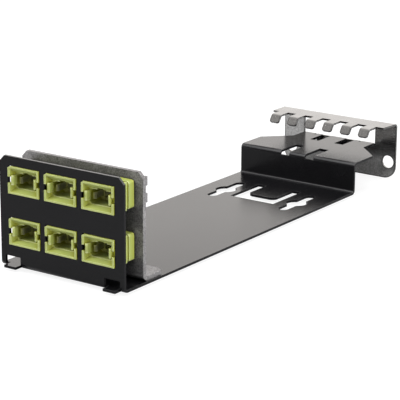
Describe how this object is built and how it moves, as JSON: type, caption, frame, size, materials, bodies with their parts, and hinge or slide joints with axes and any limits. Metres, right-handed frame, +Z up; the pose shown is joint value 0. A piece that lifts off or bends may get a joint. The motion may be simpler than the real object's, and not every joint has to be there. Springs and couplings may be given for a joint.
{
  "type": "fibre optic coupler module",
  "caption": "Slide-in sheet metal tray whose front panel frames two rows of lime multi-fibre couplers, with keyholes, a snap tongue, a raised shelf and a comb bracket for cables.",
  "frame": {"origin": "middle of the footprint, level with the comb bracket's lower edge", "axes": "+X across the panel to its right, +Y from the coupler panel to the comb bracket, +Z up"},
  "size_m": [0.0666, 0.2298, 0.0506],
  "materials": {
    "black_paint": "glossy black powder coat",
    "zinc": "zinc plated, dull with a fine spangle",
    "stainless": "bright stainless, nearly a mirror",
    "lime_plastic": "satin moulded plastic",
    "latch_plastic": "matt moulded plastic",
    "spring_steel": "bright spring strip",
    "rivet_steel": "plain rivet steel"
  },
  "bodies": {
    "root": {"tray": "black_paint", "coupler_plate": "zinc", "comb_bracket": "stainless", "coupler_1_front": "lime_plastic", "coupler_1_rear": "lime_plastic", "coupler_1_latch_front": "latch_plastic", "coupler_1_latch_rear": "latch_plastic", "coupler_1_clip": "spring_steel", "coupler_2_front": "lime_plastic", "coupler_2_rear": "lime_plastic", "coupler_2_latch_front": "latch_plastic", "coupler_2_latch_rear": "latch_plastic", "coupler_2_clip": "spring_steel", "coupler_3_front": "lime_plastic", "coupler_3_rear": "lime_plastic", "coupler_3_latch_front": "latch_plastic", "coupler_3_latch_rear": "latch_plastic", "coupler_3_clip": "spring_steel", "coupler_4_front": "lime_plastic", "coupler_4_rear": "lime_plastic", "coupler_4_latch_front": "latch_plastic", "coupler_4_latch_rear": "latch_plastic", "coupler_4_clip": "spring_steel", "coupler_5_front": "lime_plastic", "coupler_5_rear": "lime_plastic", "coupler_5_latch_front": "latch_plastic", "coupler_5_latch_rear": "latch_plastic", "coupler_5_clip": "spring_steel", "coupler_6_front": "lime_plastic", "coupler_6_rear": "lime_plastic", "coupler_6_latch_front": "latch_plastic", "coupler_6_latch_rear": "latch_plastic", "coupler_6_clip": "spring_steel", "plate_rivets": "rivet_steel", "bracket_rivets": "rivet_steel"}
  },
  "joints": []
}
